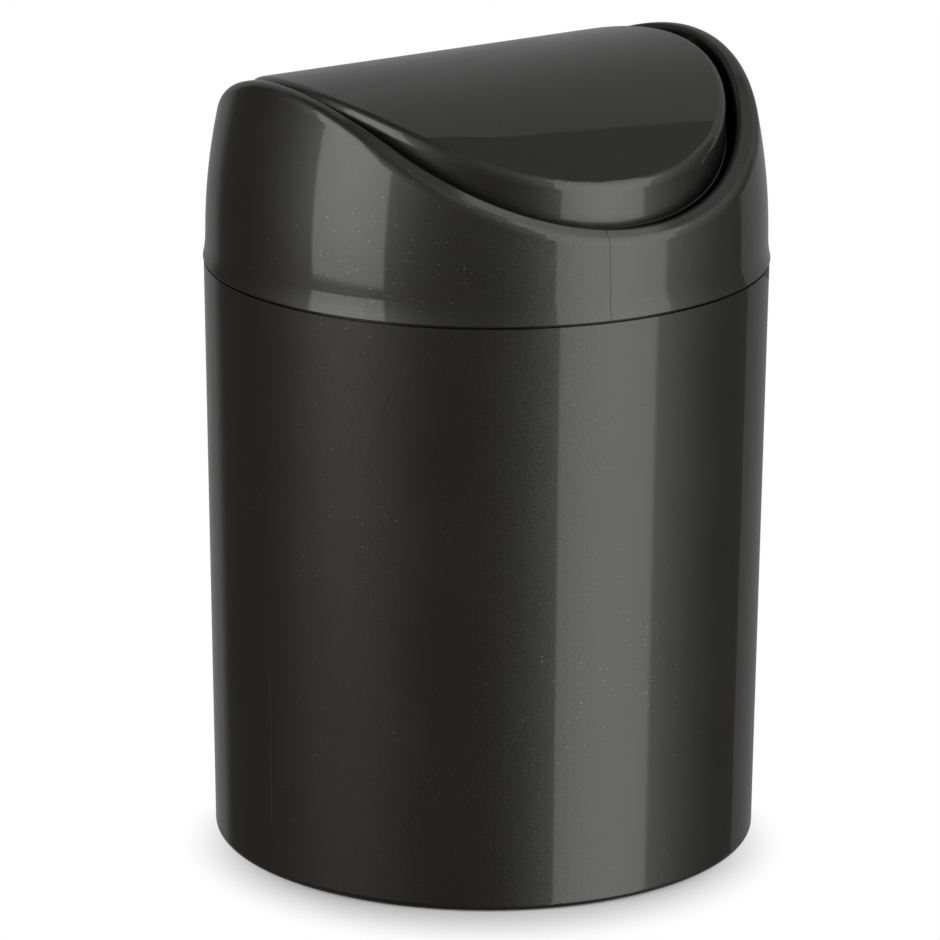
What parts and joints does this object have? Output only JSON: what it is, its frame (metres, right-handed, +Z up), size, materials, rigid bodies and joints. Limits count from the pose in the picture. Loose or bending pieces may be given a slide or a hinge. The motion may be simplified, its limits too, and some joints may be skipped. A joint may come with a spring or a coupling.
{
  "type": "swing lid bin",
  "caption": "Small round countertop bin with a tapered bucket, a domed lift-off lid with a saddle-shaped rolled rim, and a vaulted flap that swings on trunnions.",
  "frame": {"origin": "centre of the base, on the table top", "axes": "+Z up; X along the flap's pivot axis, from ear to ear of the lid; -Y towards the front, the low side of the rim"},
  "size_m": [0.1198, 0.1198, 0.1694],
  "materials": {
    "bucket_plastic": "dark anthracite pearl, satin gloss with fine metallic flake",
    "lid_plastic": "dark anthracite pearl, satin gloss with fine metallic flake",
    "flap_plastic": "dark anthracite pearl, satin gloss with fine metallic flake"
  },
  "bodies": {
    "bucket_body": {"bucket": "bucket_plastic"},
    "lid_body": {"lid": "lid_plastic"},
    "flap_body": {"swing_flap": "flap_plastic"}
  },
  "joints": [
    {"name": "lid_lift", "type": "slide", "parent": "bucket_body", "child": "lid_body", "axis": [0, 0, 1], "range_m": [0, 0.06]},
    {"name": "flap_swing", "type": "hinge", "parent": "lid_body", "child": "flap_body", "pos_m": [0, 0, 0.164], "axis": [1, 0, 0], "range_deg": [-80, 80]}
  ]
}
